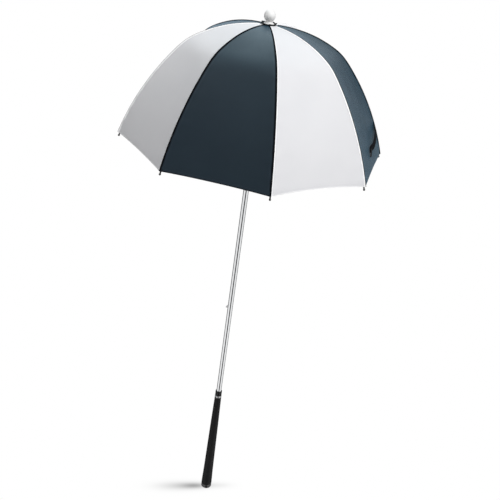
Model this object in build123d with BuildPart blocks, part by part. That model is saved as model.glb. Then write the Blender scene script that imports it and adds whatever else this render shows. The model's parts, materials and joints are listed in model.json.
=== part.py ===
from build123d import *
import math
import os

# Golf umbrella, open. Millimetres, +Z up the shaft, origin at the butt end of the grip.
# Rib 1 lies over +X and the ribs follow every 45 degrees; panel k spans rib k and rib k + 1.
# Every rib, stretcher and panel is drawn once in the XZ plane and turned into its place.

os.makedirs("parts", exist_ok=True)

# Canopy
RIBS = 8
STEP = 360 / RIBS
HALF = STEP / 2
RIM_Z = 929
RIM_R = 270
BEND_R = 152.7
BEND_RISE = 195.4
APEX_R = 7.5
APEX_RISE = 238
UPPER_SAG = 11.6
LOWER_SAG = 11.9
FABRIC_T = 0.6
SEAM_GAP = 0.25

# Ribs, in the plane of one rib: radius from the shaft and rise above the rim
RIB_W = 3.0
RIB_DEPTH = 3.0
RIB_WALL = 0.6
NOTCH_PIVOT = (9.0, RIM_Z + 231.0)
BEND_PIVOT = (150.6, RIM_Z + 192.7)
RIB_END = (266.8, RIM_Z - 1.1)
UPPER_RIB_SAG = 13.0
LOWER_RIB_SAG = 12.3
RIVET_SHARE = 0.585
BEND_BOSS_R = 2.2
BEND_PIN_R = 0.8
RIVET_R = 1.0
RIVET_HEAD_OUT = 0.3
RIVET_BOSS_R = 2.2
NOTCH_EYE_R = 2.0
TIP_L = 5.5
TIP_R = 1.5
TIP_BALL_R = 2.1
PIN_CLEAR = 0.05

# Shaft and handle
SHAFT_R = 6.0
SHAFT_WALL = 0.8
SHAFT_BOTTOM = 12.0
SHAFT_TOP = RIM_Z + 224.0
BORE_R = SHAFT_R - SHAFT_WALL
CAP_R = 12.7
CAP_H = 12.0
CAP_FACE_R = 6.8
CAP_EDGE_H = 3.5
PLUG_TOP = 28.0
GRIP_TOP = 285.0
GRIP_BUTT_R = 12.8
GRIP_LOW = (11.5, 65.0)
GRIP_MID = (9.95, 165.0)
GRIP_NECK = (8.1, 272.0)
GRIP_MOUTH_R = 7.7
RING_ROUND = 0.8
COLLAR_ROUND = 0.6
RING_H = 4.5
RING_R = 8.0
COLLAR_H = 13.5
COLLAR_R = 7.7

# Top notch, runner and their wires
NOTCH_R = 11.6
NOTCH_H = 13.0
NOTCH_CORE_R = 6.8
NOTCH_PLUG_L = 16.0
NOTCH_PIN_R = 1.2
NOTCH_PIN_DROP = 8.0
WIRE_R = 0.75
RUNNER_PIVOT = (12.5, RIM_Z + 26.0)
CROWN_R = 15.2
CROWN_H = 10.0
CROWN_CORE_R = 9.8
SLEEVE_R = 9.5
SLEEVE_L = 127.0
THUMB_FLANGE_DROP = 22.0
THUMB_FLANGE_H = 4.0
THUMB_FLANGE_OUT = 2.5
FOOT_FLANGE_H = 5.0
FOOT_FLANGE_OUT = 1.2
RUNNER_FIT = 0.06
SLOT_W = 3.4
KEYWAY_W = 3.2
KEYWAY_R = 11.0

# Spring catches
CATCH_AZ = 157.5
BOTTOM_CATCH_Z = 538.0
TOP_CATCH_Z = 837.0
CATCH_W = 2.4
CATCH_OUT_R = 10.0
CATCH_H = 8.0
CATCH_LEAF_T = 1.1
CATCH_TOE = 2.5
CATCH_GAP = 0.2

# Stretchers
FOOT_R = 2.4
FOOT_W = 2.8
CHEEK_IN = 1.95
CHEEK_OUT = 2.65
CHANNEL_DEPTH = 4.4
CHANNEL_WALL = 0.8
FOOT_L = 9.0
FORK_OPEN = 38.0
FORK_PAST = 6.0

# Finial
BALL_R = 11.2
BALL_Z = RIM_Z + 255.0
BASE_R = 10.4
NECK_R = 6.4
ROSETTE_R = 15.6
SCALLOP_R = 5.0
SCALLOP_OUT = 3.4
ROSETTE_Z = RIM_Z + 238.5
ROSETTE_T = 1.0
STUD_R = 2.2
SPIGOT_R = 3.0
SPIGOT_L = 6.0

# Closing strap
STRAP_W = 10.0
STRAP_T = 0.9
STRAP_RISE = 50.0
STRAP_FROM = (84.0, 13.0)
STRAP_TO = (3.0, -8.0)
STRAP_GAP = 0.5
PATCH_L = 20.0
PATCH_W = 9.0
PATCH_AT = (-7.0, -12.0)
PATCH_T = 0.6


def save(piece, name):
    """Label one finished piece and write its STEP file."""
    piece.label = name
    export_step(piece, f"parts/{name}.step")


def radial_plane(azimuth):
    """Plane that holds the shaft's axis, with x outwards at the azimuth and y up."""
    a = math.radians(azimuth)
    x_dir = (math.cos(a), math.sin(a), 0)
    return Plane(origin=(0, 0, 0), x_dir=x_dir, z_dir=(math.sin(a), -math.cos(a), 0))


def polar(radius, azimuth, z):
    """Point at a radius and azimuth about the shaft."""
    a = math.radians(azimuth)
    return (radius * math.cos(a), radius * math.sin(a), z)


def bar(line, depth, half_width, mode=Mode.ADD):
    """Bar of constant depth along a line drawn in the XZ plane, centred on that plane."""
    with BuildSketch(Plane.XZ) as section:
        with BuildLine():
            add(line)
        trace(line_width=depth)
    extrude(section.sketch, amount=half_width, both=True, mode=mode)


def round_bar(centre, radius, y_from, y_to, mode=Mode.ADD):
    """Round bar across the XZ plane, from one y to another."""
    middle = (y_from + y_to) / 2
    with Locations(Location((centre[0], middle, centre[1]), (90, 0, 0))):
        Cylinder(radius, abs(y_to - y_from), mode=mode)


def turned(piece, azimuth):
    """Copy of a piece turned about the shaft."""
    return Rot(0, 0, azimuth) * piece


def wire_ring(apothem, radius, z):
    """Closed ring of wire with one straight side across each rib."""
    half_side = apothem * math.tan(math.radians(HALF))
    corner = apothem / math.cos(math.radians(HALF))
    with BuildPart() as ring:
        for k in range(RIBS):
            with Locations(Rot(0, 0, k * STEP) * Location((apothem, 0, z), (90, 0, 0))):
                Cylinder(radius, 2 * half_side)
            with Locations(polar(corner, k * STEP + HALF, z)):
                Sphere(radius)
    return ring.part


def crown_slots(core_r, outer_r, z, height):
    """Radial slots, one to each rib, cut from a crown."""
    length = outer_r - core_r + 2
    for k in range(RIBS):
        with Locations(Location(polar(core_r + length / 2, k * STEP, z), (0, 0, k * STEP))):
            Box(length, SLOT_W, height + 2, mode=Mode.SUBTRACT)


def wire_groove(inner_r, outer_r, z):
    """Groove round a crown that the wire lies in."""
    with BuildSketch(Plane.XY.offset(z - WIRE_R)) as groove:
        Circle(outer_r + 1)
        Circle(inner_r, mode=Mode.SUBTRACT)
    extrude(groove.sketch, amount=2 * WIRE_R, mode=Mode.SUBTRACT)


# ---------------------------------------------------------------- shaft
with BuildPart() as shaft_tube:
    with BuildSketch(Plane.XY.offset(SHAFT_BOTTOM)):
        Circle(SHAFT_R)
        Circle(BORE_R, mode=Mode.SUBTRACT)
    extrude(amount=SHAFT_TOP - SHAFT_BOTTOM)
    for catch_z in (BOTTOM_CATCH_Z, TOP_CATCH_Z):
        with Locations(Location(polar(SHAFT_R, CATCH_AZ, catch_z), (0, 0, CATCH_AZ))):
            Box(SHAFT_R, CATCH_W + CATCH_GAP, CATCH_H + 1, mode=Mode.SUBTRACT)
    with Locations(Location((0, 0, SHAFT_TOP - NOTCH_PIN_DROP), (0, 90, 0))):
        Cylinder(NOTCH_PIN_R, 3 * SHAFT_R, mode=Mode.SUBTRACT)
save(shaft_tube.part, "shaft_tube")

# ---------------------------------------------------------------- handle
with BuildPart() as end_cap:
    with BuildSketch(Plane.XZ):
        with BuildLine():
            Polyline((0, 0), (CAP_FACE_R, 0))
            TangentArc((CAP_FACE_R, 0), (CAP_R, CAP_EDGE_H), tangent=(1, 0))
            Polyline((CAP_R, CAP_EDGE_H), (CAP_R, CAP_H), (BORE_R, CAP_H))
            Polyline((BORE_R, CAP_H), (BORE_R, PLUG_TOP), (0, PLUG_TOP), (0, 0))
        make_face()
    revolve(axis=Axis.Z)
save(end_cap.part, "grip_end_cap")

with BuildPart() as grip:
    with BuildSketch(Plane.XZ):
        with BuildLine():
            Polyline((SHAFT_R, CAP_H), (GRIP_BUTT_R, CAP_H))
            Spline((GRIP_BUTT_R, CAP_H), GRIP_LOW, GRIP_MID, GRIP_NECK)
            Polyline(GRIP_NECK, (GRIP_MOUTH_R, GRIP_TOP), (SHAFT_R, GRIP_TOP), (SHAFT_R, CAP_H))
        make_face()
    revolve(axis=Axis.Z)
save(grip.part, "grip")

with BuildPart() as ring:
    with BuildSketch(Plane.XY.offset(GRIP_TOP)):
        Circle(RING_R)
        Circle(SHAFT_R, mode=Mode.SUBTRACT)
    extrude(amount=RING_H)
    fillet(ring.edges().filter_by(GeomType.CIRCLE).group_by(SortBy.RADIUS)[-1], RING_ROUND)
save(ring.part, "grip_ring")

with BuildPart() as collar:
    with BuildSketch(Plane.XY.offset(GRIP_TOP + RING_H)):
        Circle(COLLAR_R)
        Circle(SHAFT_R, mode=Mode.SUBTRACT)
    extrude(amount=COLLAR_H)
    fillet(collar.edges().filter_by(GeomType.CIRCLE).sort_by(Axis.Z)[-1], COLLAR_ROUND)
save(collar.part, "grip_collar")

# ---------------------------------------------------------------- top notch
notch_z = NOTCH_PIVOT[1]
with BuildPart() as top_notch:
    with BuildSketch(Plane.XY.offset(SHAFT_TOP)):
        Circle(NOTCH_R)
    extrude(amount=NOTCH_H)
    crown_slots(NOTCH_CORE_R, NOTCH_R, SHAFT_TOP + NOTCH_H / 2, NOTCH_H)
    wire_groove(NOTCH_PIVOT[0] - WIRE_R, NOTCH_R, notch_z)
    with BuildSketch(Plane.XY.offset(SHAFT_TOP - NOTCH_PLUG_L)) as plug:
        Circle(BORE_R)
    extrude(plug.sketch, amount=NOTCH_PLUG_L)
    with Locations(Location((0, 0, SHAFT_TOP - NOTCH_PIN_DROP), (0, 90, 0))):
        Cylinder(NOTCH_PIN_R, 3 * SHAFT_R, mode=Mode.SUBTRACT)
    with Locations((0, 0, SHAFT_TOP + NOTCH_H)):
        Cylinder(SPIGOT_R, 2 * SPIGOT_L, mode=Mode.SUBTRACT)
save(top_notch.part, "top_notch")
save(wire_ring(NOTCH_PIVOT[0], WIRE_R, notch_z), "notch_wire")

with BuildPart() as notch_pin:
    with Locations(Location((0, 0, SHAFT_TOP - NOTCH_PIN_DROP), (0, 90, 0))):
        Cylinder(NOTCH_PIN_R, 2 * BORE_R + SHAFT_WALL)
save(notch_pin.part, "notch_pin")

# ---------------------------------------------------------------- finial
with BuildPart() as rosette:
    with BuildSketch(Plane.XY.offset(ROSETTE_Z)):
        Circle(ROSETTE_R)
        with PolarLocations(ROSETTE_R + SCALLOP_OUT, RIBS, start_angle=HALF):
            Circle(SCALLOP_R, mode=Mode.SUBTRACT)
        Circle(SPIGOT_R, mode=Mode.SUBTRACT)
    extrude(amount=ROSETTE_T)
save(rosette.part, "canopy_rosette")

base_z = ROSETTE_Z + ROSETTE_T
spigot_z = base_z - SPIGOT_L
neck_z = BALL_Z - math.sqrt(BALL_R**2 - NECK_R**2)
with BuildPart() as finial_base:
    with BuildSketch(Plane.XZ):
        with BuildLine():
            Polyline((0, spigot_z), (SPIGOT_R, spigot_z), (SPIGOT_R, base_z), (BASE_R, base_z))
            TangentArc((NECK_R, neck_z), (BASE_R, base_z), tangent=(0, -1))
            Polyline((NECK_R, neck_z), (STUD_R, neck_z), (STUD_R, BALL_Z), (0, BALL_Z), (0, spigot_z))
        make_face()
    revolve(axis=Axis.Z)
save(finial_base.part, "finial_base")

with BuildPart() as ball:
    with Locations((0, 0, BALL_Z)):
        Sphere(BALL_R)
    with Locations((0, 0, BALL_Z - BALL_R)):
        Cylinder(STUD_R, 2 * BALL_R, mode=Mode.SUBTRACT)
    with Locations((0, 0, neck_z - BALL_R)):
        Cylinder(BALL_R, 2 * BALL_R, mode=Mode.SUBTRACT)
save(ball.part, "finial_ball")

# ---------------------------------------------------------------- runner
pivot_r, pivot_z = RUNNER_PIVOT
sleeve_bottom = pivot_z - SLEEVE_L
with BuildPart() as runner:
    with BuildSketch(Plane.XY.offset(sleeve_bottom)) as sleeve:
        Circle(SLEEVE_R)
    extrude(sleeve.sketch, amount=SLEEVE_L)
    with BuildSketch(Plane.XY.offset(pivot_z - CROWN_H / 2)) as crown:
        Circle(CROWN_R)
    extrude(crown.sketch, amount=CROWN_H)
    with BuildSketch(Plane.XY.offset(pivot_z - CROWN_H / 2 - THUMB_FLANGE_DROP)) as thumb_flange:
        Circle(SLEEVE_R + THUMB_FLANGE_OUT)
    extrude(thumb_flange.sketch, amount=THUMB_FLANGE_H)
    with BuildSketch(Plane.XY.offset(sleeve_bottom)) as foot_flange:
        Circle(SLEEVE_R + FOOT_FLANGE_OUT)
    extrude(foot_flange.sketch, amount=FOOT_FLANGE_H)
    crown_slots(CROWN_CORE_R, CROWN_R, pivot_z, CROWN_H)
    wire_groove(pivot_r - WIRE_R, CROWN_R, pivot_z)
    with BuildSketch(Plane.XY.offset(sleeve_bottom - 1)) as bore:
        Circle(SHAFT_R + RUNNER_FIT)
    extrude(bore.sketch, amount=SLEEVE_L + CROWN_H + 2, mode=Mode.SUBTRACT)
    keyway_middle = polar(KEYWAY_R / 2, CATCH_AZ, pivot_z - SLEEVE_L / 2)
    with Locations(Location(keyway_middle, (0, 0, CATCH_AZ))):
        Box(KEYWAY_R, KEYWAY_W, 2 * SLEEVE_L, mode=Mode.SUBTRACT)
save(runner.part, "runner")
save(wire_ring(pivot_r, WIRE_R, pivot_z), "runner_wire")


# ---------------------------------------------------------------- spring catches
def catch(z, ledge):
    """Sprung catch in the tube wall; its ledge faces up if ledge is 1 and down if it is -1."""
    inner = BORE_R - CATCH_GAP
    flat = z + ledge * CATCH_H / 2
    toe = z - ledge * CATCH_H / 2
    nose = flat - ledge * CATCH_TOE
    root = inner - CATCH_LEAF_T / 2
    with BuildPart() as part:
        with BuildSketch(radial_plane(CATCH_AZ)):
            with Locations((inner - CATCH_LEAF_T / 2, z)):
                Rectangle(CATCH_LEAF_T, 3 * CATCH_H)
            with BuildLine():
                Polyline((root, toe), (SHAFT_R, toe), (CATCH_OUT_R, nose))
                Polyline((CATCH_OUT_R, nose), (CATCH_OUT_R, flat), (root, flat), (root, toe))
            make_face()
        extrude(amount=CATCH_W / 2, both=True)
    return part.part


save(catch(TOP_CATCH_Z, 1), "top_catch")
save(catch(BOTTOM_CATCH_Z, -1), "bottom_catch")

# ---------------------------------------------------------------- ribs
upper_line = SagittaArc(NOTCH_PIVOT, BEND_PIVOT, UPPER_RIB_SAG)
lower_line = SagittaArc(BEND_PIVOT, RIB_END, LOWER_RIB_SAG)
rivet = tuple(lower_line @ RIVET_SHARE)[:2]
LAP_R = BEND_BOSS_R + 1.2

with BuildPart() as upper_rib:
    bar(upper_line, RIB_DEPTH, RIB_W / 2)
    channel = upper_line.trim(0.04, 0.93).moved(Location((-0.3, -RIB_WALL, 0)))
    bar(channel, RIB_DEPTH, RIB_W / 2 - RIB_WALL, mode=Mode.SUBTRACT)
    round_bar(NOTCH_PIVOT, NOTCH_EYE_R, -RIB_W / 2, RIB_W / 2)
    round_bar(BEND_PIVOT, BEND_BOSS_R, -RIB_W / 2, RIB_W / 2)
    round_bar(BEND_PIVOT, LAP_R, 0, RIB_W, mode=Mode.SUBTRACT)
    round_bar(BEND_PIVOT, BEND_PIN_R, -RIB_W / 2, RIB_W / 2)
    round_bar(NOTCH_PIVOT, WIRE_R + PIN_CLEAR, -RIB_W, RIB_W, mode=Mode.SUBTRACT)

with BuildPart() as lower_rib:
    bar(lower_line, RIB_DEPTH, RIB_W / 2)
    round_bar(BEND_PIVOT, BEND_BOSS_R, -RIB_W / 2, RIB_W / 2)
    round_bar(BEND_PIVOT, LAP_R, -RIB_W, PIN_CLEAR, mode=Mode.SUBTRACT)
    round_bar(BEND_PIVOT, BEND_PIN_R + PIN_CLEAR, -RIB_W, RIB_W, mode=Mode.SUBTRACT)
    round_bar(rivet, RIVET_BOSS_R, -RIB_W / 2, RIB_W / 2)
    head = RIB_W / 2 + RIVET_HEAD_OUT
    round_bar(rivet, RIVET_R, -head, head)

tip_way = tuple(lower_line % 1)
tip_end = (RIB_END[0] + TIP_L * tip_way[0], RIB_END[1] + TIP_L * tip_way[1])
tip_middle = ((RIB_END[0] + tip_end[0]) / 2, 0, (RIB_END[1] + tip_end[1]) / 2)
tip_lean = math.degrees(math.atan2(tip_way[0], tip_way[1]))
with BuildPart() as rib_tip:
    with Locations(Location(tip_middle, (0, tip_lean, 0))):
        Cylinder(TIP_R, TIP_L)
    with Locations((tip_end[0], 0, tip_end[1])):
        Sphere(TIP_BALL_R)

# ---------------------------------------------------------------- stretcher
span = math.dist(RUNNER_PIVOT, rivet)
way = ((rivet[0] - pivot_r) / span, (rivet[1] - pivot_z) / span)
up = (-way[1], way[0])


def along(distance):
    """Point on the stretcher's line at a distance from the runner's pivot."""
    return (pivot_r + distance * way[0], pivot_z + distance * way[1])


lift = Location((CHANNEL_WALL * up[0], CHANNEL_WALL * up[1], 0))
channel_line = Line(along(FOOT_L + 2), along(span + FORK_PAST)).moved(lift)
fork_line = Line(along(span - FORK_OPEN), along(span + FORK_PAST))
with BuildPart() as stretcher:
    bar(Line(along(FOOT_L), along(span)), CHANNEL_DEPTH, CHEEK_OUT)
    round_bar(rivet, CHANNEL_DEPTH / 2, -CHEEK_OUT, CHEEK_OUT)
    bar(channel_line, CHANNEL_DEPTH, CHEEK_IN, mode=Mode.SUBTRACT)
    bar(fork_line, 2 * CHANNEL_DEPTH, CHEEK_IN, mode=Mode.SUBTRACT)
    round_bar(rivet, RIVET_R + 0.1, -RIB_W, RIB_W, mode=Mode.SUBTRACT)
    bar(Line(RUNNER_PIVOT, along(FOOT_L + 1)), RIB_DEPTH, FOOT_W / 2)
    round_bar(RUNNER_PIVOT, FOOT_R, -FOOT_W / 2, FOOT_W / 2)
    round_bar(RUNNER_PIVOT, WIRE_R + PIN_CLEAR, -FOOT_W, FOOT_W, mode=Mode.SUBTRACT)

for k in range(RIBS):
    save(turned(upper_rib.part, k * STEP), f"upper_rib_{k + 1}")
    whole_lower = Compound(children=[turned(lower_rib.part, k * STEP), turned(rib_tip.part, k * STEP)])
    save(whole_lower, f"lower_rib_{k + 1}")
    save(turned(stretcher.part, k * STEP), f"stretcher_{k + 1}")

# ---------------------------------------------------------------- canopy panels
flat = math.cos(math.radians(HALF))
upper_fabric = SagittaArc((APEX_R * flat, RIM_Z + APEX_RISE), (BEND_R * flat, RIM_Z + BEND_RISE), UPPER_SAG)
lower_fabric = SagittaArc(
    (BEND_R * flat + 0.5, RIM_Z + BEND_RISE - 0.8), (RIM_R * flat, RIM_Z), LOWER_SAG
)


def gore(line):
    """Piece of canopy fabric curved along a line and trimmed to the wedge between two ribs."""
    reach = 1.3 * RIM_R
    start = SEAM_GAP / math.sin(math.radians(HALF))
    half_far = (reach - start) * math.tan(math.radians(HALF))
    with BuildPart() as piece:
        bar(line, FABRIC_T, RIM_R / 2)
        with BuildSketch(Plane.XY.offset(RIM_Z - 40)) as wedge:
            Polygon((start, 0), (reach, -half_far), (reach, half_far), align=None)
        extrude(wedge.sketch, amount=APEX_RISE + 80, mode=Mode.INTERSECT)
    return piece.part


upper_gore = gore(upper_fabric)
lower_gore = gore(lower_fabric)
for k in range(RIBS):
    save(turned(upper_gore, k * STEP + HALF), f"panel_upper_{k + 1}")
    save(turned(lower_gore, k * STEP + HALF), f"panel_lower_{k + 1}")

# ---------------------------------------------------------------- closing strap
# It lies on a plane that touches the last panel: x along the hem towards rib 1, y up the slope.
share = 1 - STRAP_RISE / lower_fabric.length
touch = tuple(lower_fabric @ share)
slope = tuple(lower_fabric % share)
side = math.radians(-HALF)
out = (-slope[1] * math.cos(side), -slope[1] * math.sin(side), slope[0])
along_hem = (-math.sin(side), math.cos(side), 0)
panel_plane = Plane(origin=polar(touch[0], -HALF, touch[1]), x_dir=along_hem, z_dir=out)
strap_z = FABRIC_T / 2 + STRAP_GAP
strap_way = (STRAP_TO[0] - STRAP_FROM[0], STRAP_TO[1] - STRAP_FROM[1])
strap_middle = ((STRAP_FROM[0] + STRAP_TO[0]) / 2, (STRAP_FROM[1] + STRAP_TO[1]) / 2)
lean = math.degrees(math.atan2(strap_way[1], strap_way[0]))

with BuildPart() as closing_strap:
    with BuildSketch(panel_plane.offset(strap_z)):
        with Locations(Location(strap_middle, lean)):
            SlotCenterToCenter(math.hypot(*strap_way), STRAP_W)
    extrude(amount=STRAP_T)
save(closing_strap.part, "closing_strap")

with BuildPart() as strap_patch:
    with BuildSketch(panel_plane.offset(strap_z + STRAP_T + PIN_CLEAR)):
        with Locations(PATCH_AT):
            RectangleRounded(PATCH_W, PATCH_L, PATCH_W / 4)
    extrude(amount=PATCH_T)
save(strap_patch.part, "strap_patch")
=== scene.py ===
import bpy
import bmesh
import json
import math
import numpy as np
from mathutils import Matrix, Vector, noise


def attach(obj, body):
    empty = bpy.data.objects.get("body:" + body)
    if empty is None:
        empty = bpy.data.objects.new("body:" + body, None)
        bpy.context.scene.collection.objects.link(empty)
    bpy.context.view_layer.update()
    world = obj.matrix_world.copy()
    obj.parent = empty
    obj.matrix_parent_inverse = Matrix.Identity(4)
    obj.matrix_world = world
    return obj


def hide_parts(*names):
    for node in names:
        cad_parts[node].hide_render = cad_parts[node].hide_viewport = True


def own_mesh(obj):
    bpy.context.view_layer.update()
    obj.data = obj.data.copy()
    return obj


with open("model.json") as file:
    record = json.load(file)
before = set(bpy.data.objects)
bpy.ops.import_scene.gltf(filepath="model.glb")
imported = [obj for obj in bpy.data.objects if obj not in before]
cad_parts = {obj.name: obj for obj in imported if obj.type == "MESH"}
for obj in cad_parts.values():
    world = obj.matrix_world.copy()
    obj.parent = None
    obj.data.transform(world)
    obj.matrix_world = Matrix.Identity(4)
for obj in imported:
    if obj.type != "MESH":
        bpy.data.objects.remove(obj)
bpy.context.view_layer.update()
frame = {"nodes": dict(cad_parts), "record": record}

# ------------------------------------------------------------------ sizes, in metres
RIBS = 8
STEP = 2 * math.pi / RIBS
HALF = STEP / 2
RIM_Z = 0.929
RIM_R = 0.270
BEND_R, BEND_Z = 0.1527, RIM_Z + 0.1954
APEX_R, APEX_Z = 0.0045, RIM_Z + 0.2382
UPPER_SAG, LOWER_SAG = 0.0117, 0.0125
# how far each gore's hem rises between its ribs, because no two gores are stretched alike
HEM_ARCH = (0.0040, 0.0030, 0.0040, 0.0030, 0.0025, 0.0020, 0.0055, 0.0030)
HEM_FOLD = 0.008
FABRIC_T = 0.0005
CLOTH_SAG = 0.0042
# an edge_m value that is clear of every seam and hem, for the cloth's stitching
PLAIN_CLOTH = 0.02
# the cloth lies in two layers beside its seams and hem, where it is painted whiter on the white gores, a
# painted highlight, and near black on the navy gores, a painted shade line; it is stitched in a row of
# dashes further in
DOUBLED_AND_PAINTED_W = 0.0019
STITCH_IN, STITCH_HALF, STITCH_PITCH = 0.0052, 0.0003, 0.003
# the bound seams: half widths, how far the navy one reaches over the rib, their rise and thickness
WHITE_SEAM_HALF, NAVY_SEAM_HALF, NAVY_OVER_RIB = 0.0023, 0.0021, 0.0007
SEAM_RISE, SEAM_T = 0.0009, 0.0006
SHARP = math.radians(25)


def polar(r, az, z):
    return Vector((r * math.cos(az), r * math.sin(az), z))


def arc_points(a, b, sag, count):
    """Points on the arc from a to b that bulges outwards and up by sag."""
    a, b = np.array(a), np.array(b)
    chord = b - a
    length = np.linalg.norm(chord)
    radius = (length * length / 4 + sag * sag) / (2 * sag)
    along = chord / length
    out = np.array([-along[1], along[0]])
    if out[0] < 0:
        out = -out
    centre = (a + b) / 2 - out * (radius - sag)
    half = math.asin(length / 2 / radius)
    turn = np.linspace(-half, half, count)
    return [centre + radius * (math.cos(x) * out + math.sin(x) * along) for x in turn]


# ------------------------------------------------------------------ node helpers
def material(name):
    mat = bpy.data.materials.new(name)
    mat.use_nodes = True
    tree = mat.node_tree
    shader = tree.nodes["Principled BSDF"]
    return mat, tree, shader


def node(tree, kind, **inputs):
    made = tree.nodes.new(kind)
    for key, value in inputs.items():
        if key in made.inputs:
            made.inputs[key].default_value = value
        else:
            setattr(made, key, value)
    return made


def link(tree, a, a_out, b, b_in):
    tree.links.new(a.outputs[a_out], b.inputs[b_in])


def coords(tree, scale=(1, 1, 1), source="Object"):
    tex = tree.nodes.new("ShaderNodeTexCoord")
    mapping = tree.nodes.new("ShaderNodeMapping")
    mapping.inputs["Scale"].default_value = scale
    link(tree, tex, source, mapping, "Vector")
    return mapping


def math_node(tree, operation, a, b=None):
    made = tree.nodes.new("ShaderNodeMath")
    made.operation = operation
    for i, value in enumerate((a, b)):
        if value is None:
            continue
        if isinstance(value, (int, float)):
            made.inputs[i].default_value = value
        else:
            tree.links.new(value, made.inputs[i])
    return made.outputs[0]


def bump(tree, shader, height, strength, distance):
    made = node(tree, "ShaderNodeBump", Strength=strength, Distance=distance)
    tree.links.new(height, made.inputs["Height"])
    tree.links.new(made.outputs[0], shader.inputs["Normal"])


def varied(tree, vector, low, high, scale, detail=4.0):
    """A noise between two values."""
    cloud = node(tree, "ShaderNodeTexNoise", Scale=scale, Detail=detail)
    tree.links.new(vector, cloud.inputs["Vector"])
    span = node(tree, "ShaderNodeMapRange")
    span.inputs["To Min"].default_value = low
    span.inputs["To Max"].default_value = high
    span.inputs["From Min"].default_value = 0.3
    span.inputs["From Max"].default_value = 0.7
    tree.links.new(cloud.outputs[0], span.inputs["Value"])
    return span.outputs[0]


def mix_colour(tree, factor, a, b):
    made = tree.nodes.new("ShaderNodeMix")
    made.data_type = "RGBA"
    tree.links.new(factor, made.inputs[0])
    for slot_index, value in ((6, a), (7, b)):
        if isinstance(value, (tuple, list)):
            made.inputs[slot_index].default_value = (*value, 1)
        else:
            tree.links.new(value, made.inputs[slot_index])
    return made.outputs[2]


# ------------------------------------------------------------------ materials
def fabric(name, colour, deep, seam, stitch, sheen, rough, specular, thread=0.00045):
    """Plain-woven canopy cloth; UVs are in metres, across the gore and down it."""
    mat, tree, shader = material(name)
    uv = coords(tree, source="UV")
    object_space = coords(tree)
    split = tree.nodes.new("ShaderNodeSeparateXYZ")
    link(tree, uv, 0, split, 0)
    across, down = split.outputs[0], split.outputs[1]
    warp = math_node(tree, "SINE", math_node(tree, "MULTIPLY", across, 2 * math.pi / thread))
    weft = math_node(tree, "SINE", math_node(tree, "MULTIPLY", down, 2 * math.pi / thread))
    weave = math_node(tree, "MULTIPLY", warp, weft)
    soft = varied(tree, object_space.outputs[0], 0.0, 1.0, 9.0)
    fine = varied(tree, object_space.outputs[0], 0.0, 1.0, 900.0, 2.0)
    ground = mix_colour(tree, soft, colour, deep)
    worn = mix_colour(tree, math_node(tree, "MULTIPLY", fine, 0.18), ground, deep)
    # the attribute holds the distance from the nearest seam or hem
    edge = node(tree, "ShaderNodeAttribute", attribute_name="edge_m").outputs["Fac"]
    # beside seams and hem the cloth takes the seam colour: two layers of cloth, with a painted highlight on
    # the white gores and a painted shade line on the navy gores
    doubled_and_painted = math_node(tree, "LESS_THAN", edge, DOUBLED_AND_PAINTED_W)
    body = mix_colour(tree, math_node(tree, "MULTIPLY", doubled_and_painted, 0.8), worn, seam)
    stagger = math_node(tree, "MULTIPLY", math_node(tree, "ADD", across, down), 2 * math.pi / STITCH_PITCH)
    dash = math_node(tree, "GREATER_THAN", math_node(tree, "SINE", stagger), -0.35)
    off_row = math_node(tree, "ABSOLUTE", math_node(tree, "SUBTRACT", edge, STITCH_IN))
    stitched = math_node(tree, "MULTIPLY", dash, math_node(tree, "LESS_THAN", off_row, STITCH_HALF))
    final = mix_colour(tree, stitched, body, stitch)
    tree.links.new(final, shader.inputs["Base Color"])
    mottled = varied(tree, object_space.outputs[0], rough - 0.025, rough + 0.025, 60.0)
    tree.links.new(mottled, shader.inputs["Roughness"])
    shader.inputs["Specular IOR Level"].default_value = specular
    shader.inputs["Sheen Weight"].default_value = sheen[0]
    shader.inputs["Sheen Roughness"].default_value = sheen[2]
    shader.inputs["Sheen Tint"].default_value = (*sheen[1], 1)
    pulled = math_node(tree, "MULTIPLY", stitched, 2.0)
    height = math_node(tree, "ADD", math_node(tree, "MULTIPLY", weave, 0.5), pulled)
    bump(tree, shader, height, 0.22, 0.0002)
    return mat


def plastic(name, colour, rough, coat=0.0, grain=0.15, grain_scale=700.0, specular=0.5, glow=0.0):
    mat, tree, shader = material(name)
    # glow is emission, light painted onto the part as a highlight
    shader.inputs["Emission Color"].default_value = (1, 1, 1, 1)
    shader.inputs["Emission Strength"].default_value = glow
    shader.inputs["Specular IOR Level"].default_value = specular
    space = coords(tree)
    tone = varied(tree, space.outputs[0], 0.0, 1.0, 40.0)
    lighter = tuple(min(1.0, c * 1.15 + 0.003) for c in colour)
    tree.links.new(mix_colour(tree, tone, colour, lighter), shader.inputs["Base Color"])
    uneven = varied(tree, space.outputs[0], max(0.02, rough - 0.05), rough + 0.06, 120.0)
    tree.links.new(uneven, shader.inputs["Roughness"])
    shader.inputs["Coat Weight"].default_value = coat
    shader.inputs["Coat Roughness"].default_value = 0.08
    fine = node(tree, "ShaderNodeTexNoise", Scale=grain_scale, Detail=3.0)
    tree.links.new(space.outputs[0], fine.inputs["Vector"])
    bump(tree, shader, fine.outputs[0], grain, 0.0001)
    return mat


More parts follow.
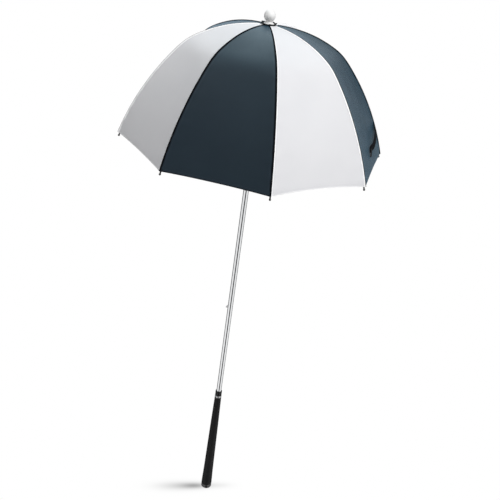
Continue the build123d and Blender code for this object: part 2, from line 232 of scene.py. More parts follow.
def metal(name, colour, rough, stretch=(1, 1, 1), scratch=0.08, spread=0.05, tip=None):
    """Plated metal; tip is the darker colour of what lies below the rim."""
    mat, tree, shader = material(name)
    space = coords(tree, scale=stretch)
    shader.inputs["Metallic"].default_value = 1.0
    tone = varied(tree, space.outputs[0], 0.0, 1.0, 60.0)
    darker = tuple(c * 0.88 for c in colour)
    plate = mix_colour(tree, tone, colour, darker)
    if tip is not None:
        place = tree.nodes.new("ShaderNodeSeparateXYZ")
        link(tree, coords(tree), 0, place, 0)
        plate = mix_colour(tree, math_node(tree, "LESS_THAN", place.outputs[2], RIM_Z - 0.0005), plate, tip)
    tree.links.new(plate, shader.inputs["Base Color"])
    uneven = varied(tree, space.outputs[0], max(0.02, rough - spread), rough + spread, 300.0)
    tree.links.new(uneven, shader.inputs["Roughness"])
    fine = node(tree, "ShaderNodeTexNoise", Scale=1500.0, Detail=3.0)
    tree.links.new(space.outputs[0], fine.inputs["Vector"])
    bump(tree, shader, fine.outputs[0], scratch, 0.00005)
    return mat


def webbing(name, colour, lighter, thread=0.0011):
    """Woven tape with a twill rib."""
    mat, tree, shader = material(name)
    uv = coords(tree, source="UV")
    split = tree.nodes.new("ShaderNodeSeparateXYZ")
    link(tree, uv, 0, split, 0)
    slant = math_node(tree, "ADD", split.outputs[0], math_node(tree, "MULTIPLY", split.outputs[1], 1.0))
    twill = math_node(tree, "SINE", math_node(tree, "MULTIPLY", slant, 2 * math.pi / thread))
    raised = math_node(tree, "MULTIPLY", math_node(tree, "ADD", twill, 1.0), 0.5)
    tree.links.new(mix_colour(tree, raised, colour, lighter), shader.inputs["Base Color"])
    shader.inputs["Roughness"].default_value = 0.75
    shader.inputs["Specular IOR Level"].default_value = 0.04
    bump(tree, shader, raised, 0.5, 0.0003)
    return mat


# each gore's seam colour is painted beside its seams and hem: near white on the white cloth, a painted
# highlight, and near black on the navy cloth, a painted shade line
WHITE = fabric("canopy_white", (0.80, 0.80, 0.82), (0.76, 0.762, 0.785), (0.93, 0.93, 0.94),
               (0.70, 0.70, 0.73), (0.10, (1, 1, 1), 0.4), 0.55, 0.3)
NAVY = fabric("canopy_navy", (0.010, 0.021, 0.031), (0.007, 0.016, 0.025), (0.002, 0.003, 0.005),
              (0.02, 0.03, 0.045), (0.32, (0.34, 0.70, 1.0), 0.4), 0.42, 0.20)
# the white seam binding is whiter than the white cloth and glows a little: a painted highlight along each
# seam
WHITE_SEAM_WITH_HIGHLIGHT = plastic("seam_white_with_highlight", (0.93, 0.93, 0.94), 0.6, grain=0.5, grain_scale=2500.0, specular=0.3,
                     glow=0.1)
# the navy seam binding is near black, darker than the navy cloth: a dark binding and a painted shade line
# along each seam
NAVY_SEAM_AND_SHADE = plastic("seam_navy_and_shade", (0.002, 0.003, 0.005), 0.7, grain=0.5, grain_scale=2500.0, specular=0.05)
CHROME = metal("chrome", (0.88, 0.89, 0.90), 0.08, stretch=(1, 1, 0.05), scratch=0.02, spread=0.02)
STEEL = metal("plated_steel", (0.55, 0.55, 0.56), 0.28)
RIB_STEEL = metal("rib_steel", (0.55, 0.55, 0.56), 0.28, tip=(0.07, 0.068, 0.066))
BLACK_STEEL = plastic("black_enamel", (0.012, 0.012, 0.014), 0.32, coat=0.3)
RUBBER = plastic("grip_rubber", (0.0030, 0.0030, 0.0034), 0.62, grain=0.6, grain_scale=1600.0, specular=0.2)
FERRULE_BLACK = plastic("ferrule_black", (0.003, 0.003, 0.0035), 0.35, grain=0.04, specular=0.25)
GLOSS_BLACK = plastic("gloss_black", (0.005, 0.005, 0.006), 0.14, coat=0.6, grain=0.04)
NYLON = plastic("black_nylon", (0.012, 0.012, 0.013), 0.45, grain=0.25)
SATIN = metal("satin_aluminium", (0.50, 0.50, 0.51), 0.25, stretch=(1, 1, 6))
WHITE_GLOSS = plastic("white_gloss", (0.84, 0.84, 0.835), 0.40, grain=0.03, specular=0.2)
ROSETTE = plastic("rosette_vinyl", (0.006, 0.006, 0.007), 0.7, grain=0.3, specular=0.2)
TAPE = webbing("strap_tape", (0.003, 0.003, 0.004), (0.008, 0.008, 0.010))
PILE = plastic("hook_and_loop", (0.006, 0.006, 0.007), 0.9, grain=1.0, grain_scale=3500.0, specular=0.2)


# ------------------------------------------------------------------ mesh helpers
def new_mesh(name, verts, faces, mat):
    mesh = bpy.data.meshes.new(name)
    mesh.from_pydata([tuple(v) for v in verts], [], faces)
    mesh.update()
    mesh.polygons.foreach_set("use_smooth", [True] * len(mesh.polygons))
    mesh.materials.append(mat)
    obj = bpy.data.objects.new(name, mesh)
    bpy.context.scene.collection.objects.link(obj)
    return obj


def lay_uvs(obj, uvs):
    """Give the mesh UVs in metres, from one pair for each vertex."""
    layer = obj.data.uv_layers.new(name="UVMap")
    for loop in obj.data.loops:
        layer.data[loop.index].uv = uvs[loop.vertex_index]


def mark_edges(obj, distances):
    """Store each vertex's distance from the nearest seam or hem."""
    attribute = obj.data.attributes.new("edge_m", "FLOAT", "POINT")
    attribute.data.foreach_set("value", distances)


def bake(obj):
    """Apply the modifiers, and keep the folded edges crisp."""
    graph = bpy.context.evaluated_depsgraph_get()
    mesh = bpy.data.meshes.new_from_object(obj.evaluated_get(graph))
    obj.modifiers.clear()
    obj.data = mesh
    mesh.set_sharp_from_angle(angle=SHARP)


def thicken(obj, thickness, offset):
    solid = obj.modifiers.new("cloth", "SOLIDIFY")
    solid.thickness = thickness
    solid.offset = offset
    bake(obj)


def grid_faces(rows, cols, wrap=False):
    faces = []
    for i in range(rows - 1):
        for j in range(cols if wrap else cols - 1):
            a = i * cols + j
            b = i * cols + (j + 1) % cols
            faces.append((a, b, b + cols, a + cols))
    return faces


def lathe(name, profile, mat, segments=64, shape=None):
    """Surface of revolution about the shaft; shape(r, z, angle) may change the radius."""
    if profile[0][0] > 0 and profile[-1][0] > 0:
        profile = profile + profile[:1]
    verts = []
    for r, z in profile:
        for s in range(segments):
            a = 2 * math.pi * s / segments
            rr = r if shape is None or r < 1e-6 else shape(r, z, a)
            verts.append((rr * math.cos(a), rr * math.sin(a), z))
    obj = new_mesh(name, verts, grid_faces(len(profile), segments, wrap=True), mat)
    bm = bmesh.new()
    bm.from_mesh(obj.data)
    bmesh.ops.remove_doubles(bm, verts=bm.verts, dist=1e-7)
    bmesh.ops.recalc_face_normals(bm, faces=bm.faces)
    bm.to_mesh(obj.data)
    bm.free()
    return obj


def smooth_line(points, count):
    """Evenly spaced points on a Catmull-Rom curve through 2-D points."""
    pts = [np.array(p, float) for p in points]
    pts = [2 * pts[0] - pts[1]] + pts + [2 * pts[-1] - pts[-2]]
    dense = []
    for i in range(1, len(pts) - 2):
        for t in np.linspace(0, 1, 40, endpoint=False):
            p0, p1, p2, p3 = pts[i - 1 : i + 3]
            square = 2 * p0 - 5 * p1 + 4 * p2 - p3
            cube = 3 * p1 - p0 - 3 * p2 + p3
            dense.append(0.5 * (2 * p1 + (p2 - p0) * t + square * t * t + cube * t**3))
    dense.append(pts[-2])
    dense = np.array(dense)
    run = np.r_[0, np.cumsum(np.linalg.norm(np.diff(dense, axis=0), axis=1))]
    want = np.linspace(0, run[-1], count)
    return np.c_[np.interp(want, run, dense[:, 0]), np.interp(want, run, dense[:, 1])]


# ------------------------------------------------------------------ canopy
# columns of a gore, step of the rib line, and how near the bend the rows are close together
COLS = 33
FINE = 0.0005
NEAR = 0.02
# how gradually the rib and the cloth midway between two ribs turn at the bend
RIB_SPREAD, MID_SPREAD = 0.014, 0.026


def eased(line, middle, spread):
    """The line with its bend rounded off over about the spread; its ends stay."""
    reach = int(4 * spread / FINE)
    weights = np.exp(-0.5 * (np.arange(-reach, reach + 1) * FINE / spread) ** 2)
    weights /= weights.sum()
    padded = np.pad(line, ((reach, reach), (0, 0)), mode="reflect", reflect_type="odd")
    soft = np.stack([np.convolve(padded[:, c], weights, mode="valid") for c in (0, 1)], axis=1)
    share = np.exp(-((np.arange(len(line)) - middle) * FINE / (4 * spread)) ** 4)[:, None]
    return line * (1 - share) + soft * share


def even(points):
    """The same line in steps of FINE."""
    points = np.array(points)
    travelled = np.r_[0, np.cumsum(np.linalg.norm(np.diff(points, axis=0), axis=1))]
    want = np.linspace(0, travelled[-1], int(round(travelled[-1] / FINE)) + 1)
    return np.stack([np.interp(want, travelled, points[:, c]) for c in (0, 1)], axis=1)


upper_line = even(arc_points((APEX_R, APEX_Z), (BEND_R, BEND_Z), UPPER_SAG, 900))
lower_line = even(arc_points((BEND_R, BEND_Z), (RIM_R, RIM_Z), LOWER_SAG, 900))
bend_at = len(upper_line) - 1
corner = np.r_[upper_line, lower_line[1:]]
RIB_LINE = eased(corner, bend_at, RIB_SPREAD)
MID_LINE = eased(corner, bend_at, MID_SPREAD)
RUN = np.r_[0, np.cumsum(np.linalg.norm(np.diff(RIB_LINE, axis=0), axis=1))]
BEND, TOTAL = RUN[bend_at], RUN[-1]
slopes = np.gradient(RIB_LINE, axis=0)
slopes /= np.linalg.norm(slopes, axis=1)[:, None]
normals = np.c_[-slopes[:, 1], slopes[:, 0]]
normals[normals[:, 1] < 0] *= -1


def at(table, s):
    """Both columns of a table along the rib line, at distance s down it."""
    return np.array((np.interp(s, RUN, table[:, 0]), np.interp(s, RUN, table[:, 1])))


def station(s):
    return at(RIB_LINE, s), at(MID_LINE, s), at(normals, s), at(slopes, s)


def cloth_point(place, s, w, k):
    """Point of gore k at distance s down the rib line and w from -1 to 1 across, with its sag."""
    rib, mid, n, tangent = place
    across = 1 - w * w
    r, z = rib * (1 - across) + mid * across
    t = s / TOTAL
    taut = 1 - math.exp(-(((s - BEND) / 0.03) ** 2))
    sag = CLOTH_SAG * across * taut * math.sin(math.pi * min(1.0, t * 1.02)) * (0.4 + 0.6 * t)
    pucker = 0.0007 * t * math.sin(26 * t * math.pi + 1.7 * k) * (w**8)
    ripple = 0.0011 * noise.noise(Vector((2.3 * w + 5.1 * k, 5.0 * t, 0.7 * k))) * across * t * taut
    lift = HEM_ARCH[k] * (1 - abs(w) ** 2.2) * max(0.0, (t - 0.86) / 0.14) ** 2
    drop = pucker + ripple - sag
    u = r * math.cos(HALF) + n[0] * drop * math.cos(HALF) - tangent[0] * lift
    y = rib[0] * math.sin(HALF) * w
    azimuth = k * STEP + HALF
    c, sn = math.cos(azimuth), math.sin(azimuth)
    return Vector((u * c - y * sn, u * sn + y * c, z + n[1] * drop - tangent[1] * lift)), y


ROWS = {"upper": np.r_[np.linspace(0, BEND - NEAR, 22)[:-1], np.linspace(BEND - NEAR, BEND, 13)],
        "lower": np.r_[np.linspace(BEND, BEND + NEAR, 13)[:-1], np.linspace(BEND + NEAR, TOTAL, 32)]}
# the hem is turned under: how far back along the cloth, and how far below it
HEM_TURNS = ((0.0, 0.0010), (0.4, 0.0013), (1.0, 0.0011))
# the upper cloth runs on under the lower at the bend, so that the fold stays covered as the canopy closes
TUCK = ((0.0012, 0.0008), (0.0045, 0.0010))
ACROSS = [2 * j / (COLS - 1) - 1 for j in range(COLS)]


def gore(name, k, rows, mat, hem):
    verts, uvs, edges = [], [], []
    azimuth = k * STEP + HALF
    flat = Vector((math.cos(azimuth), math.sin(azimuth), 0))
    tucked = () if hem else TUCK
    for s, under in [(s, 0.0) for s in rows] + [(BEND + back, under) for back, under in tucked]:
        place = station(s)
        below = (flat * place[2][0] + Vector((0, 0, place[2][1]))) * under
        for w in ACROSS:
            p, y = cloth_point(place, s, w, k)
            verts.append(p - below)
            uvs.append((y, s))
            edges.append(min(place[0][0] * math.sin(HALF) * (1 - abs(w)), TOTAL - s))
    count = len(rows) + len(tucked)
    if hem:
        last, above = station(TOTAL), station(TOTAL - 0.01)
        for back, under in HEM_TURNS:
            for w in ACROSS:
                p, y = cloth_point(last, TOTAL, w, k)
                q, _ = cloth_point(above, TOTAL - 0.01, w, k)
                up = (q - p).normalized()
                n = (flat - up * flat.dot(up)).normalized()
                verts.append(p + up * HEM_FOLD * back - n * under)
                uvs.append((y, TOTAL + HEM_FOLD * back))
                edges.append(PLAIN_CLOTH)
        count += len(HEM_TURNS)
    obj = new_mesh(name, verts, grid_faces(count, COLS), mat)
    lay_uvs(obj, uvs)
    mark_edges(obj, edges)
    area = sum(p.area for p in obj.data.polygons)
    thicken(obj, FABRIC_T, -1)
    return obj, area


def fold_with(obj, part, k):
    """Ride the panel's body, on a mesh of its own."""
    body = f"panel_{part}_{k + 1}"
    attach(obj, body)
    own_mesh(obj)


# A strip of each upper gore goes with each of its ribs, just under the rest of the gore.
# It is as wide as the closed canopy's cloth is there, so that the closed ribs stay covered.
rib_hinge = next(j for j in frame["record"]["behaviour"]["joints"] if j["name"] == "upper_rib_1_fold")
HINGE_R, HINGE_Z = rib_hinge["pos_m"][0], rib_hinge["pos_m"][2]
CLOSED_TURN = math.radians(rib_hinge["range_deg"][1])
EDGING_FROM, EDGING_UNDER, EDGING_INSET = 0.0015, 0.0010, 0.003
EDGING_COLS = 7


def closed_radius(r, z):
    """How far from the shaft a point of an upper rib is when the canopy is closed."""
    return HINGE_R + (r - HINGE_R) * math.cos(CLOSED_TURN) + (z - HINGE_Z) * math.sin(CLOSED_TURN)


def edging(name, k, side, mat, body):
    """Strip of gore k beside a rib: side -1 is the edge at rib k, and side 1 the edge at the next rib."""
    azimuth = k * STEP + HALF
    flat = Vector((math.cos(azimuth), math.sin(azimuth), 0))
    verts, uvs = [], []
    rows = ROWS["upper"][1:]
    for s in rows:
        place = station(s)
        closed_half = (closed_radius(*place[0]) - EDGING_INSET) * math.tan(HALF) / math.cos(HALF)
        below = (flat * place[2][0] + Vector((0, 0, place[2][1]))) * EDGING_UNDER
        half_gore = place[0][0] * math.sin(HALF)
        reach = min(0.97 * closed_half, 0.95 * half_gore)
        for share in np.linspace(0, 1, EDGING_COLS):
            inwards = EDGING_FROM + (reach - EDGING_FROM) * share
            p, y = cloth_point(place, s, side * (1 - inwards / half_gore), k)
            verts.append(p - below)
            uvs.append((y, s))
    faces = grid_faces(len(rows), EDGING_COLS)
    if side > 0:
        faces = [f[::-1] for f in faces]
    obj = new_mesh(name, verts, faces, mat)
    lay_uvs(obj, uvs)
    mark_edges(obj, [PLAIN_CLOTH] * len(verts))
    thicken(obj, FABRIC_T, -1)
    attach(obj, body)
    return obj


for k in range(RIBS):
    mat = WHITE if k % 2 == 0 else NAVY
    after, before = f"upper_rib_{k + 1}", f"upper_rib_{(k + 1) % RIBS + 1}"
    edgings = [edging(f"gore_edging_{k + 1}_first", k, -1, mat, after),
               edging(f"gore_edging_{k + 1}_last", k, 1, mat, before)]
    for part, rows in ROWS.items():
        obj, area = gore(f"gore_{part}_{k + 1}", k, rows, mat, part == "lower")
        fold_with(obj, part, k)
        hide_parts(f"panel_{part}_{k + 1}")


# ------------------------------------------------------------------ seams over the ribs
def seam(name, rows, k, side, body):
    """One binding of the seam down rib k: side 1 lies on gore k and side -1 on the gore before it."""
    azimuth = k * STEP
    white = (k if side > 0 else k - 1) % 2 == 0
    widest = WHITE_SEAM_HALF if white else NAVY_SEAM_HALF
    steps = np.linspace((NAVY_OVER_RIB if white else -NAVY_OVER_RIB) / widest, 1, 5)
    verts = []
    for s in rows:
        (r, z), _, n, _ = station(s)
        half = widest * (0.45 + 0.55 * min(1.0, s / TOTAL * 3))
        for c in steps:
            rise = SEAM_RISE * (1 - c * c) + 0.0001
            y = side * c * half
            rr = r + n[0] * rise - abs(y) * math.tan(HALF)
            x_at = rr * math.cos(azimuth) - y * math.sin(azimuth)
            y_at = rr * math.sin(azimuth) + y * math.cos(azimuth)
            verts.append((x_at, y_at, z + n[1] * rise))
    faces = grid_faces(len(rows), len(steps))
    if side < 0:
        faces = [f[::-1] for f in faces]
    # white bindings carry a painted highlight and navy ones a painted shade line
    obj = new_mesh(name, verts, faces, WHITE_SEAM_WITH_HIGHLIGHT if white else NAVY_SEAM_AND_SHADE)
    thicken(obj, SEAM_T, -1)
    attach(obj, body)


for k in range(RIBS):
    for side, label in ((1, "after"), (-1, "before")):
        seam(f"seam_upper_{k + 1}_{label}", ROWS["upper"][2:], k, side, f"upper_rib_{k + 1}")
        seam(f"seam_lower_{k + 1}_{label}", ROWS["lower"], k, side, f"lower_rib_{k + 1}")


# ------------------------------------------------------------------ grip
GRIP_LOW, GRIP_TOP = 0.0122, 0.285
GRIP_RADII = [(0.0128, GRIP_LOW), (0.0115, 0.065), (0.00995, 0.165), (0.0081, 0.272),
              (0.0078, GRIP_TOP - 0.001)]
PITS_LOW, PITS_L = 0.03, 0.235
PIT_PITCH, PIT_DEPTH = 0.0042, 0.00028
GROOVE_PITCH, GROOVE_W, GROOVE_DEPTH = 0.047, 0.0009, 0.0003
grip_line = smooth_line(GRIP_RADII, 340)


def grip_texture(r, z, a):
    """Rows of short slanted pits between plain bands, as on a moulded golf grip."""
    band = (z - PITS_LOW) / PITS_L
    depth = 0.0
    if 0 < band < 1 and abs(((band * 5) % 1) - 0.5) < 0.42:
        row = math.sin(2 * math.pi * z / PIT_PITCH + 2 * math.sin(3 * a))
        column = math.sin(16 * a + 2 * math.pi * z / (2 * PIT_PITCH))
        depth = PIT_DEPTH * max(0.0, row) ** 2 * max(0.0, column) ** 2
    groove = GROOVE_DEPTH if (z - PITS_LOW) % GROOVE_PITCH < GROOVE_W else 0.0
    return r - depth - groove


rounded = [(0.0061, GRIP_LOW)] + [tuple(p) for p in grip_line] + [(0.0070, GRIP_TOP), (0.0061, GRIP_TOP)]
grip = lathe("grip_rubber_sleeve", rounded, RUBBER, 128, grip_texture)
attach(grip, "shaft")
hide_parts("grip")

# ------------------------------------------------------------------ end cap
CAP_R, CAP_ROUND = 0.0127, 0.0036
cap_line = [(0.0, 0.0), (0.0052, 0.0), (0.0055, 0.0006), (0.0069, 0.0006), (0.0072, 0.0), (0.0094, 0.0002)]
for t in np.linspace(0.15, math.pi / 2, 10):
    cap_line.append((CAP_R - CAP_ROUND * (1 - math.sin(t)), CAP_ROUND - 0.0034 * math.cos(t)))
cap_line += [(CAP_R, 0.0085), (CAP_R - 0.0003, 0.0088), (CAP_R - 0.0003, 0.0094), (CAP_R, 0.0097)]
cap_line += [(CAP_R, 0.0116), (CAP_R - 0.0004, 0.0120), (0.0, 0.0120)]
cap = lathe("grip_cap", cap_line, GLOSS_BLACK, 96)
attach(cap, "shaft")
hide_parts("grip_end_cap")

# ------------------------------------------------------------------ ferrule: ring and collar
ring_line = [(0.0061, 0.2851), (0.0077, 0.2851), (0.0080, 0.2854), (0.0080, 0.2866), (0.0078, 0.2868)]
ring_line += [(0.0078, 0.2877), (0.0080, 0.2879), (0.0080, 0.2891), (0.0077, 0.2894), (0.0061, 0.2894)]
ring = lathe("ferrule_ring", ring_line, SATIN, 96)
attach(ring, "shaft")
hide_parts("grip_ring")
collar_line = [(0.0061, 0.2896), (0.0077, 0.2896), (0.0077, 0.2930), (0.0074, 0.2935), (0.0077, 0.2940)]
collar_line += [(0.0077, 0.3012), (0.0076, 0.3022), (0.0072, 0.3028), (0.0061, 0.3029)]
collar = lathe("ferrule_collar", collar_line, FERRULE_BLACK, 96)
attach(collar, "shaft")
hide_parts("grip_collar")

# ------------------------------------------------------------------ finial
BALL_R, BALL_Z = 0.0112, RIM_Z + 0.255
NECK_R = 0.0064
neck_turn = math.pi - math.asin(NECK_R / BALL_R)
neck_z = BALL_Z + BALL_R * math.cos(neck_turn)
ball_line = [(0.0, BALL_Z + BALL_R)]
for t in np.linspace(0.05, neck_turn, 40):
    ball_line.append((BALL_R * math.sin(t), BALL_Z + BALL_R * math.cos(t)))
ball_line += [(0.0, neck_z)]
ball = lathe("finial_knob", ball_line, WHITE_GLOSS, 96)
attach(ball, "shaft")
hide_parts("finial_ball")
base_z = RIM_Z + 0.2396
neck_rise = neck_z - base_z
neck = smooth_line([(0.0103, base_z), (0.0101, base_z + 0.0009), (0.0083, base_z + 0.42 * neck_rise),
                    (0.0070, base_z + 0.70 * neck_rise), (NECK_R, neck_z)], 24)
base_line = [(0.0, base_z)] + [tuple(p) for p in neck] + [(0.0, neck_z)]
base = lathe("finial_neck", base_line, WHITE_GLOSS, 72)
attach(base, "shaft")
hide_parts("finial_base")

# rosette: thin scalloped disc whose lobes curl up a little
ROSETTE_R, ROSETTE_Z = 0.0156, RIM_Z + 0.2386
ROSETTE_BORE, ROSETTE_T, SCALLOP = 0.0031, 0.0009, 0.14
verts, rings, spokes = [], 14, 128
for i in range(rings):
    t = i / (rings - 1)
    for s in range(spokes):
        a = 2 * math.pi * s / spokes
        lobe = 0.5 + 0.5 * math.cos(RIBS * a)
        edge = ROSETTE_R * (1 - SCALLOP + SCALLOP * lobe**0.6)
        r = ROSETTE_BORE + (edge - ROSETTE_BORE) * t
        curl = max(0.0, (t - 0.55) / 0.45) ** 2 * (0.0028 + 0.0010 * lobe)
        verts.append((r * math.cos(a), r * math.sin(a), ROSETTE_Z + curl))
rosette = new_mesh("rosette_disc", verts, grid_faces(rings, spokes, wrap=True), ROSETTE)
thicken(rosette, ROSETTE_T, 1)
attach(rosette, "shaft")
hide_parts("canopy_rosette")


# ------------------------------------------------------------------ closing strap
def band(name, centre, width, thickness, mat):
    """Flat band along 3-D centre points, each with its outward and sideways directions."""
    verts, uvs = [], []
    travelled = 0.0
    under = [(-1, -0.6), (-0.94, -1), (-0.5, -1), (0, -1), (0.5, -1), (0.94, -1), (1, -0.6)]
    cross = under + [(-u, -v) for u, v in under]
    for i, (p, out, side) in enumerate(centre):
        if i:
            travelled += (p - centre[i - 1][0]).length
        for u, v in cross:
            verts.append(p + side * (u * width / 2) + out * (v * thickness / 2))
            uvs.append((u * width / 2, travelled))
    faces = grid_faces(len(centre), len(cross), wrap=True)
    last = (len(centre) - 1) * len(cross)
    faces.append(tuple(range(len(cross)))[::-1])
    faces.append(tuple(last + j for j in range(len(cross))))
    obj = new_mesh(name, verts, faces, mat)
    lay_uvs(obj, uvs)
    return obj


def strap_line(marks, count):
    """Smooth path on the last gore through marks of metres across it, above its hem and off its cloth."""
    k = RIBS - 1
    azimuth = k * STEP + HALF
    flat = Vector((math.cos(azimuth), math.sin(azimuth), 0))
    path = smooth_line([m[:2] for m in marks], count)
    gaps = np.r_[0, np.cumsum(np.linalg.norm(np.diff([m[:2] for m in marks], axis=0), axis=1))]
    lift = np.interp(np.linspace(0, gaps[-1], count), gaps, [m[2] for m in marks])
    places = []
    for (u, rise), off in zip(path, lift):
        s = TOTAL - rise
        place = station(s)
        p, _ = cloth_point(place, s, u / (place[0][0] * math.sin(HALF)), k)
        out = (flat * place[2][0] + Vector((0, 0, place[2][1]))).normalized()
        places.append((p + out * off, out))
    line = []
    for i, (p, out) in enumerate(places):
        ahead = places[min(i + 1, count - 1)][0] - places[max(i - 1, 0)][0]
        line.append((p, out, ahead.cross(out).normalized()))
    return line


# metres across the gore, above its hem and off its cloth: the tape stands off, and its end is folded down
TAPE_MARKS = [(0.0965, 0.0670, 0.0004), (0.080, 0.0625, 0.0040), (0.058, 0.0545, 0.0066),
              (0.036, 0.0475, 0.0066), (0.018, 0.0430, 0.0056), (0.004, 0.0430, 0.0042),
              (-0.0065, 0.0425, 0.0034), (-0.0085, 0.0370, 0.0026)]
PATCH_MARKS = [(-0.0078, 0.0440, 0.0052), (-0.0086, 0.0380, 0.0042), (-0.0090, 0.0330, 0.0030),
               (-0.0094, 0.0285, 0.0020)]
TAPE_W, TAPE_T = 0.0115, 0.0012
PATCH_W, PATCH_T = 0.0090, 0.0014
tape_line = strap_line(TAPE_MARKS, 80)
strap = band("closing_tape", tape_line, TAPE_W, TAPE_T, TAPE)
patch = band("closing_patch", strap_line(PATCH_MARKS, 20), PATCH_W, PATCH_T, PILE)
for obj, part in ((strap, "closing_strap"), (patch, "strap_patch")):
    obj.data.set_sharp_from_angle(angle=SHARP)
    fold_with(obj, "lower", RIBS - 1)
    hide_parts(part)

# ------------------------------------------------------------------ carried-over CAD nodes
FINISH = {"shaft_tube": CHROME, "top_notch": NYLON, "notch_wire": STEEL, "notch_pin": STEEL,
          "runner": NYLON, "runner_wire": STEEL, "top_catch": STEEL, "bottom_catch": STEEL}
for k in range(1, RIBS + 1):
    FINISH[f"upper_rib_{k}"] = BLACK_STEEL
    FINISH[f"lower_rib_{k}"] = RIB_STEEL
    FINISH[f"stretcher_{k}"] = BLACK_STEEL
for name, mat in FINISH.items():
    slots = frame["nodes"][name].material_slots
    for entry in slots:
        entry.material = mat
    if not len(slots):
        frame["nodes"][name].data.materials.append(mat)

# ------------------------------------------------------------------ camera
CAM_AZ = math.radians(-99.28)
CAM_OUT, CAM_UP = 5.670 * RIM_R, 1.962 * RIM_R
PITCH, YAW, ROLL = 0.46703, 0.01511, 0.13524
SENSOR_MM, LENS_MM = 36, 56.77632
eye = polar(CAM_OUT, CAM_AZ, RIM_Z + CAM_UP)
up = Vector((0, 0, 1))
forward = polar(-1, CAM_AZ, 0)
right = forward.cross(up).normalized()
tilted = math.cos(PITCH) * forward - math.sin(PITCH) * up
tilted_up = math.sin(PITCH) * forward + math.cos(PITCH) * up
aim = math.cos(YAW) * tilted + math.sin(YAW) * right
level = math.cos(YAW) * right - math.sin(YAW) * tilted
x_axis = math.cos(ROLL) * level + math.sin(ROLL) * tilted_up
y_axis = math.cos(ROLL) * tilted_up - math.sin(ROLL) * level
camera_data = bpy.data.cameras.new("camera")
camera_data.sensor_width = SENSOR_MM
camera_data.lens = LENS_MM
camera = bpy.data.objects.new("camera", camera_data)
bpy.context.scene.collection.objects.link(camera)
camera.matrix_world = Matrix.Translation(eye) @ Matrix((x_axis, y_axis, -aim)).transposed().to_4x4()
bpy.context.scene.camera = camera

# ------------------------------------------------------------------ floor
FLOOR_HALF, FLOOR_Z = 14.0, -0.0006
# soft shadows where the butt stands: centre along the view's right, half length, half depth, depth of tone
CONTACTS = ((-0.030, 0.034, 0.010, 0.50), (-0.068, 0.058, 0.015, 0.28), (0.030, 0.035, 0.010, 0.12))
CONTACT_TURN = 0.2
FLOOR, floor_tree, floor_shader = material("floor")
floor_shader.inputs["Base Color"].default_value = (0, 0, 0, 1)
floor_shader.inputs["Roughness"].default_value = 1.0
floor_shader.inputs["Specular IOR Level"].default_value = 0.0
floor_shader.inputs["Emission Strength"].default_value = 1.0
floor_place = coords(floor_tree)


def along(direction):
    made = node(floor_tree, "ShaderNodeVectorMath", operation="DOT_PRODUCT")
    link(floor_tree, floor_place, 0, made, 0)
    made.inputs[1].default_value = tuple(direction)
    return made.outputs["Value"]


def squared_off(value, middle, spread):
    off = math_node(floor_tree, "DIVIDE", math_node(floor_tree, "SUBTRACT", value, middle), spread)
    return math_node(floor_tree, "MULTIPLY", off, off)


sideways, deep = along(right + CONTACT_TURN * forward), along(forward - CONTACT_TURN * right)
tone = None
for middle, half_length, half_depth, depth in CONTACTS:
    off_side, off_deep = squared_off(sideways, middle, half_length), squared_off(deep, 0.0, half_depth)
    reach = math_node(floor_tree, "ADD", off_side, off_deep)
    spot = math_node(floor_tree, "EXPONENT", math_node(floor_tree, "MULTIPLY", reach, -1.0))
    light = math_node(floor_tree, "SUBTRACT", 1.0, math_node(floor_tree, "MULTIPLY", spot, depth))
    tone = light if tone is None else math_node(floor_tree, "MULTIPLY", tone, light)
grey = floor_tree.nodes.new("ShaderNodeCombineColor")
for channel in range(3):
    floor_tree.links.new(tone, grey.inputs[channel])
floor_tree.links.new(grey.outputs[0], floor_shader.inputs["Emission Color"])
corners = [(-FLOOR_HALF, -FLOOR_HALF, FLOOR_Z), (FLOOR_HALF, -FLOOR_HALF, FLOOR_Z),
           (FLOOR_HALF, FLOOR_HALF, FLOOR_Z), (-FLOOR_HALF, FLOOR_HALF, FLOOR_Z)]
floor = new_mesh("studio_floor", corners, [(0, 1, 2, 3)], FLOOR)
floor.visible_diffuse = False
floor.visible_glossy = False

# ------------------------------------------------------------------ world
AMBIENT = 0.37
BANDS = 3
BAND_AT = CAM_AZ + math.radians(8)
DARK_SHARE, LIGHT_SHARE, BAND_STRENGTH = 0.18, 0.33, 0.92
PANEL_AZ, PANEL_UP, PANEL_STRENGTH = math.radians(102), math.radians(64), 3.1
PANEL_CORE, PANEL_EDGE = math.radians(8), math.radians(55)
world = bpy.data.worlds.new("studio")
bpy.context.scene.world = world
world.use_nodes = True
wt = world.node_tree
wt.nodes.clear()
output = wt.nodes.new("ShaderNodeOutputWorld")


def background(strength):
    made = node(wt, "ShaderNodeBackground", Strength=strength)
    made.inputs["Color"].default_value = (1, 1, 1, 1)
    return made


def choose(test, no, yes):
    made = wt.nodes.new("ShaderNodeMixShader")
    wt.links.new(path.outputs[test], made.inputs[0])
    wt.links.new(no.outputs[0], made.inputs[1])
    wt.links.new(yes.outputs[0], made.inputs[2])
    return made


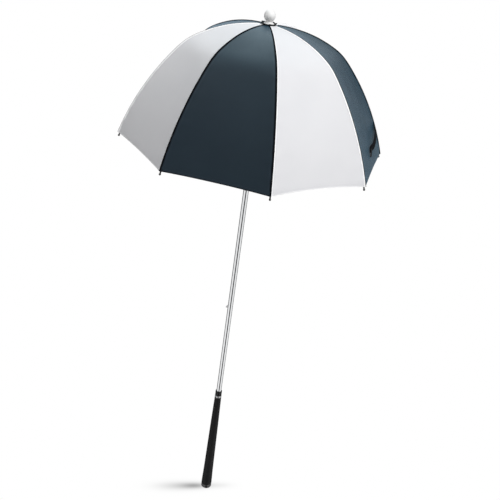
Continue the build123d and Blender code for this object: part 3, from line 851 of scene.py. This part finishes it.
# bright and dark upright bands, which only reflections see
place = wt.nodes.new("ShaderNodeTexCoord")
split = wt.nodes.new("ShaderNodeSeparateXYZ")
link(wt, place, "Generated", split, 0)
turn = math_node(wt, "ARCTAN2", split.outputs[1], split.outputs[0])
phase = math_node(wt, "MULTIPLY", math_node(wt, "SUBTRACT", turn, BAND_AT), BANDS)
wave = math_node(wt, "SUBTRACT", 0.5, math_node(wt, "MULTIPLY", math_node(wt, "COSINE", phase), 0.5))
ramp = wt.nodes.new("ShaderNodeValToRGB")
ramp.color_ramp.elements[0].position = DARK_SHARE
ramp.color_ramp.elements[0].color = (0.01, 0.011, 0.013, 1)
ramp.color_ramp.elements[1].position = LIGHT_SHARE
ramp.color_ramp.elements[1].color = (1, 1, 1, 1)
wt.links.new(wave, ramp.inputs[0])
banded = background(BAND_STRENGTH)
wt.links.new(ramp.outputs[0], banded.inputs["Color"])
# a soft panel high behind the umbrella, for the cloth's gloss
facing = node(wt, "ShaderNodeVectorMath", operation="DOT_PRODUCT")
link(wt, place, "Generated", facing, 0)
facing.inputs[1].default_value = tuple(polar(math.cos(PANEL_UP), PANEL_AZ, math.sin(PANEL_UP)))
panel_span = node(wt, "ShaderNodeMapRange", interpolation_type="SMOOTHSTEP")
panel_span.inputs["From Min"].default_value = math.cos(PANEL_EDGE)
panel_span.inputs["From Max"].default_value = math.cos(PANEL_CORE)
wt.links.new(facing.outputs["Value"], panel_span.inputs["Value"])
shining = background(0.0)
shining.inputs["Color"].default_value = (0.70, 0.92, 1.0, 1)
wt.links.new(math_node(wt, "MULTIPLY", panel_span.outputs[0], PANEL_STRENGTH), shining.inputs["Strength"])
reflected = wt.nodes.new("ShaderNodeAddShader")
wt.links.new(banded.outputs[0], reflected.inputs[0])
wt.links.new(shining.outputs[0], reflected.inputs[1])
path = wt.nodes.new("ShaderNodeLightPath")
indirect = choose("Is Glossy Ray", background(AMBIENT), reflected)
wt.links.new(choose("Is Camera Ray", indirect, background(1.0)).outputs[0], output.inputs[0])

# ------------------------------------------------------------------ light
KEY_AZ, KEY_UP, KEY_ENERGY, KEY_ANGLE = math.radians(305), math.radians(55), 2.35, 0.9
key_data = bpy.data.lights.new("key", "SUN")
key_data.energy = KEY_ENERGY
key_data.angle = KEY_ANGLE
key = bpy.data.objects.new("key", key_data)
bpy.context.scene.collection.objects.link(key)
towards = polar(math.cos(KEY_UP), KEY_AZ, math.sin(KEY_UP))
key.rotation_mode = "QUATERNION"
key.rotation_quaternion = towards.to_track_quat("Z", "Y")

scene = bpy.context.scene
scene.view_settings.view_transform = "Standard"
scene.view_settings.look = "None"
scene.view_settings.exposure = 0.0
scene.view_settings.gamma = 1.0
